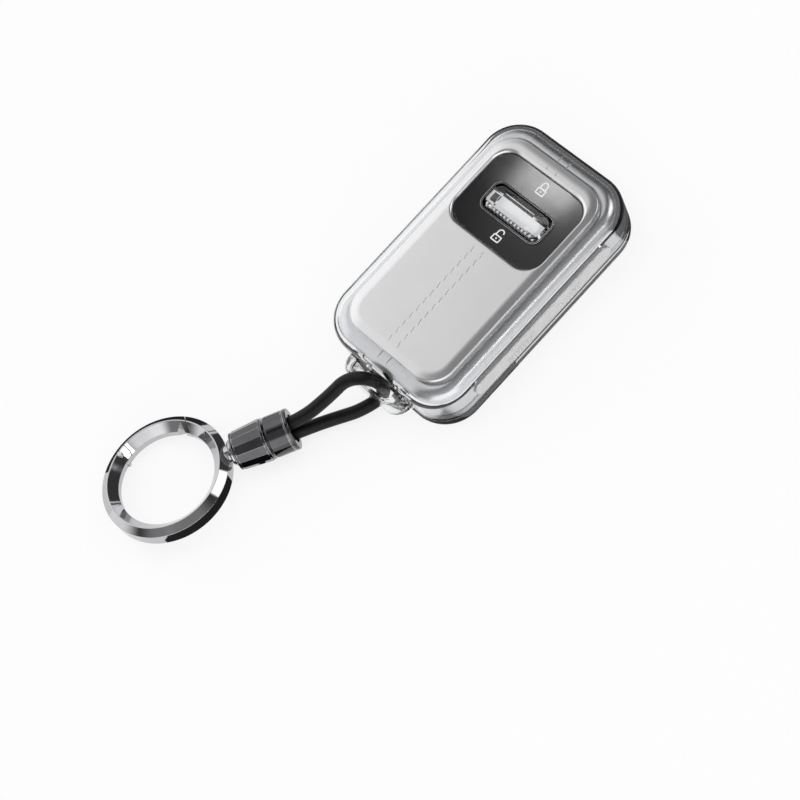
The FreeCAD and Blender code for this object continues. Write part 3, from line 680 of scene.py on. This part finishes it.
class FOB_OT_inner_parts(bpy.types.Operator):
    """Finishes the mat, its retainer, the screws and the pins"""

    bl_idname = "fob.inner_parts"
    bl_label = "Inner parts"

    def execute(self, context):
        mat = Finish("grey_silicone").set(IOR=1.41)
        mat.tone(light=(0.13, 0.13, 0.14), dark=(0.09, 0.09, 0.1), scale=300.0)
        mat.marks(low=0.5, high=0.65, scale=600.0)
        mat.grain(scale=3000.0, strength=0.2, distance=0.06 * MM)
        dress(mat.material, "keypad_mat")
        retainer = Finish("moulded_black").set(IOR=1.5)
        retainer.tone(light=(0.045, 0.045, 0.047), dark=(0.03, 0.03, 0.032), scale=120.0)
        retainer.marks(low=0.42, high=0.55, scale=400.0)
        retainer.grain(scale=2400.0, strength=0.3, distance=0.06 * MM)
        dress(retainer.material, "mat_retainer")
        steel = Finish("bright_steel").set(Metallic=1.0)
        steel.tone(light=(0.62, 0.62, 0.63), dark=(0.54, 0.54, 0.55), scale=500.0)
        steel.marks(low=0.18, high=0.3, scale=700.0)
        steel.grain(scale=3600.0, strength=0.1, distance=0.03 * MM, edge=0.08 * MM)
        dress(steel.material, "rocker_pin", "retainer_screws", "gate_pin")
        dress(steel.material, "gate_spring", "swivel_stud")
        brass = Finish("turned_brass").set(Metallic=1.0)
        brass.tone(light=(0.68, 0.5, 0.22), dark=(0.58, 0.41, 0.17), scale=300.0)
        brass.marks(low=0.2, high=0.34, scale=500.0)
        brass.grain(scale=3600.0, strength=0.12, distance=0.03 * MM, edge=0.08 * MM)
        dress(brass.material, "cord_plug")
        return {"FINISHED"}


class FOB_OT_lanyard_metal(bpy.types.Operator):
    """Finishes the ferrule, its collar, the washer, the ring and its gate"""

    bl_idname = "fob.lanyard_metal"
    bl_label = "Ferrule and ring"

    def execute(self, context):
        lanyard = context.scene.fob_lanyard
        dark = Finish("dark_chrome").set(Metallic=1.0)
        shade = shaded(lanyard.dark_chrome, share=0.85)
        dark.tone(light=lanyard.dark_chrome, dark=shade, scale=200.0)
        dark.marks(low=0.06, high=0.12, scale=260.0)
        # A painted highlight of chrome along the ferrule's edges.
        dark.painted_edge_highlight(lanyard.chrome, radius=0.22 * MM)
        dark.grain(scale=3200.0, strength=0.05, distance=0.03 * MM, edge=0.18 * MM)
        dress(dark.material, "ferrule_body", "ferrule_collar")
        chrome = Finish("polished_chrome").set(Metallic=1.0)
        chrome.tone(light=lanyard.chrome, dark=shaded(lanyard.chrome, share=0.93), scale=150.0)
        chrome.marks(low=0.03, high=0.08, scale=260.0)
        chrome.grain(scale=3200.0, strength=0.04, distance=0.03 * MM, edge=0.18 * MM)
        dress(chrome.material, "ring_body", "ring_gate", "swivel_washer")
        return {"FINISHED"}


class FOB_OT_stage(bpy.types.Operator):
    """Lays the pale floor and sets the soft studio light"""

    bl_idname = "fob.stage"
    bl_label = "Stage"

    def floor(self, settings):
        bpy.ops.object.select_all(action="DESELECT")
        bpy.ops.mesh.primitive_plane_add(size=FLOOR_SIZE, location=(0, 0, -FLOOR_DROP))
        floor = bpy.context.view_layer.objects.active
        floor.name = "floor"
        material = bpy.data.materials.new("pale_floor")
        material.use_nodes = True
        tree = material.node_tree
        tree.nodes.remove(tree.nodes["Principled BSDF"])
        matt = tree.nodes.new("ShaderNodeBsdfDiffuse")
        matt.inputs["Color"].default_value = (*settings.floor, 1)
        glow = tree.nodes.new("ShaderNodeEmission")
        mix = tree.nodes.new("ShaderNodeMixShader")
        share = math_node(tree, "MULTIPLY", self.seen_directly(tree), 1.0 - settings.shadow)
        tree.links.new(share, mix.inputs["Fac"])
        tree.links.new(matt.outputs["BSDF"], mix.inputs[1])
        tree.links.new(glow.outputs["Emission"], mix.inputs[2])
        tree.links.new(mix.outputs["Shader"], tree.nodes["Material Output"].inputs["Surface"])
        floor.data.materials.append(material)

    def seen_directly(self, tree):
        """One for rays of the camera, of reflections and of clear pieces."""
        rays = tree.nodes.new("ShaderNodeLightPath").outputs
        seen = math_node(tree, "MAXIMUM", rays["Is Camera Ray"], rays["Is Glossy Ray"])
        return math_node(tree, "MAXIMUM", seen, rays["Is Transmission Ray"])

    def world(self, scene):
        """A dark studio with a bright left, a lit front and a window; the camera sees it white."""
        world = bpy.data.worlds.new("studio")
        world.use_nodes = True
        tree = world.node_tree
        soft = tree.nodes["Background"]
        white = tree.nodes.new("ShaderNodeBackground")
        mix = tree.nodes.new("ShaderNodeMixShader")
        path = tree.nodes.new("ShaderNodeLightPath")
        way = tree.nodes.new("ShaderNodeTexCoord").outputs["Generated"]
        axes = tree.nodes.new("ShaderNodeSeparateXYZ")
        tree.links.new(way, axes.inputs["Vector"])
        x, y, z = axes.outputs
        left = [self.ramp(tree, x, LEFT_X), self.ramp(tree, y, LEFT_Y, LEFT_LIGHT)]
        front = [
            self.ramp(tree, x, FRONT_X),
            self.ramp(tree, y, FRONT_Y),
            self.ramp(tree, z, FRONT_Z, FRONT_LIGHT),
        ]
        above = [self.ramp(tree, x, ABOVE_X), self.ramp(tree, y, ABOVE_Y, ABOVE_LIGHT)]
        towards = tree.nodes.new("ShaderNodeVectorMath")
        towards.operation = "DOT_PRODUCT"
        towards.inputs[1].default_value = WINDOW_WAY
        tree.links.new(way, towards.inputs[0])
        window = self.ramp(tree, towards.outputs["Value"], WINDOW_EDGE, WINDOW_LIGHT)
        sides = [self.joined(tree, "MULTIPLY", side) for side in (left, front, above)]
        light = self.joined(tree, "ADD", [*sides, window, DIM_LIGHT])
        tree.links.new(light, soft.inputs["Color"])
        tree.links.new(path.outputs["Is Camera Ray"], mix.inputs["Fac"])
        tree.links.new(soft.outputs["Background"], mix.inputs[1])
        tree.links.new(white.outputs["Background"], mix.inputs[2])
        white.inputs["Color"].default_value = (1, 1, 1, 1)
        tree.links.new(mix.outputs["Shader"], tree.nodes["World Output"].inputs["Surface"])
        scene.world = world

    def ramp(self, tree, value, span, high=1.0):
        """Grows smoothly from nothing at the span's start to high at its end."""
        spread = span_node(tree, span)
        spread.interpolation_type = "SMOOTHSTEP"
        spread.inputs["To Max"].default_value = high
        tree.links.new(value, spread.inputs["Value"])
        return spread.outputs["Result"]

    def joined(self, tree, operation, values):
        """Adds or multiplies values in a row."""
        total = values[0]
        for value in values[1:]:
            total = math_node(tree, operation, total, value)
        return total

    def flag(self, name, low, high, tone):
        """A dark card flat on the floor, seen only in metal and through clear pieces."""
        bpy.ops.object.select_all(action="DESELECT")
        middle = [(a + b) / 2 for a, b in zip(low, high)]
        bpy.ops.mesh.primitive_plane_add(size=1.0, location=(*middle, -CARD_DROP))
        card = bpy.context.view_layer.objects.active
        card.name = name
        card.scale = (high[0] - low[0], high[1] - low[1], 1.0)
        card.visible_camera = False
        card.visible_diffuse = False
        card.visible_shadow = False
        matt = Finish(name).set(Base_Color=(tone, tone, tone, 1), Specular_IOR_Level=0.0)
        card.data.materials.append(matt.material)

    def lamp(self, name, spot, power):
        place, aim, width, height = spot
        light = bpy.data.lights.new(name, "AREA")
        light.shape = "RECTANGLE"
        light.size = width
        light.size_y = height
        light.energy = power
        lamp = bpy.data.objects.new(name, light)
        bpy.context.scene.collection.objects.link(lamp)
        lamp.location = place
        way = Vector(aim) - Vector(place)
        lamp.rotation_euler = way.to_track_quat("-Z", "Y").to_euler()
        lamp.visible_camera = False
        return lamp

    def execute(self, context):
        settings = context.scene.fob_stage
        self.floor(settings)
        self.world(context.scene)
        for name, low, high, tone in CARDS:
            self.flag(name, low, high, tone)
        self.lamp("strip", STRIP, settings.strip_power)
        gleam = self.lamp("gleam", GLEAM, settings.gleam_power)
        only_panel = bpy.data.collections.new("gleam_receivers")
        only_panel.objects.link(NODES["button_bezel"])
        gleam.light_linking.receiver_collection = only_panel
        fill = self.lamp("fill", FILL, settings.fill_power)
        fill.visible_glossy = False
        fill.visible_transmission = False
        context.scene.view_settings.view_transform = "Standard"
        return {"FINISHED"}


class FOB_PT_panel(bpy.types.Panel):
    """Lists the settings and the steps."""

    bl_idname = "FOB_PT_panel"
    bl_label = "Fob cover"
    bl_space_type = "VIEW_3D"
    bl_region_type = "UI"
    bl_category = "Fob cover"

    def draw(self, context):
        for group in (context.scene.fob_cover, context.scene.fob_lanyard, context.scene.fob_stage):
            box = self.layout.box()
            for name in group.__annotations__:
                box.prop(group, name)
        for step in STEPS:
            self.layout.operator(step.bl_idname)


STEPS = (
    FOB_OT_camera,
    FOB_OT_cord,
    FOB_OT_clear_shells,
    FOB_OT_silver,
    FOB_OT_button_panel,
    FOB_OT_padlocks,
    FOB_OT_rocker,
    FOB_OT_inner_parts,
    FOB_OT_lanyard_metal,
    FOB_OT_stage,
)
CLASSES = (CoverSettings, LanyardSettings, StageSettings, *STEPS, FOB_PT_panel)


def register():
    for item in CLASSES:
        bpy.utils.register_class(item)
    bpy.types.Scene.fob_cover = PointerProperty(type=CoverSettings)
    bpy.types.Scene.fob_lanyard = PointerProperty(type=LanyardSettings)
    bpy.types.Scene.fob_stage = PointerProperty(type=StageSettings)


def unregister():
    del bpy.types.Scene.fob_stage
    del bpy.types.Scene.fob_lanyard
    del bpy.types.Scene.fob_cover
    for item in reversed(CLASSES):
        bpy.utils.unregister_class(item)


def main():
    register()
    for step in STEPS:
        family, name = step.bl_idname.split(".")
        getattr(getattr(bpy.ops, family), name)()


if __name__ == "__main__":
    main()
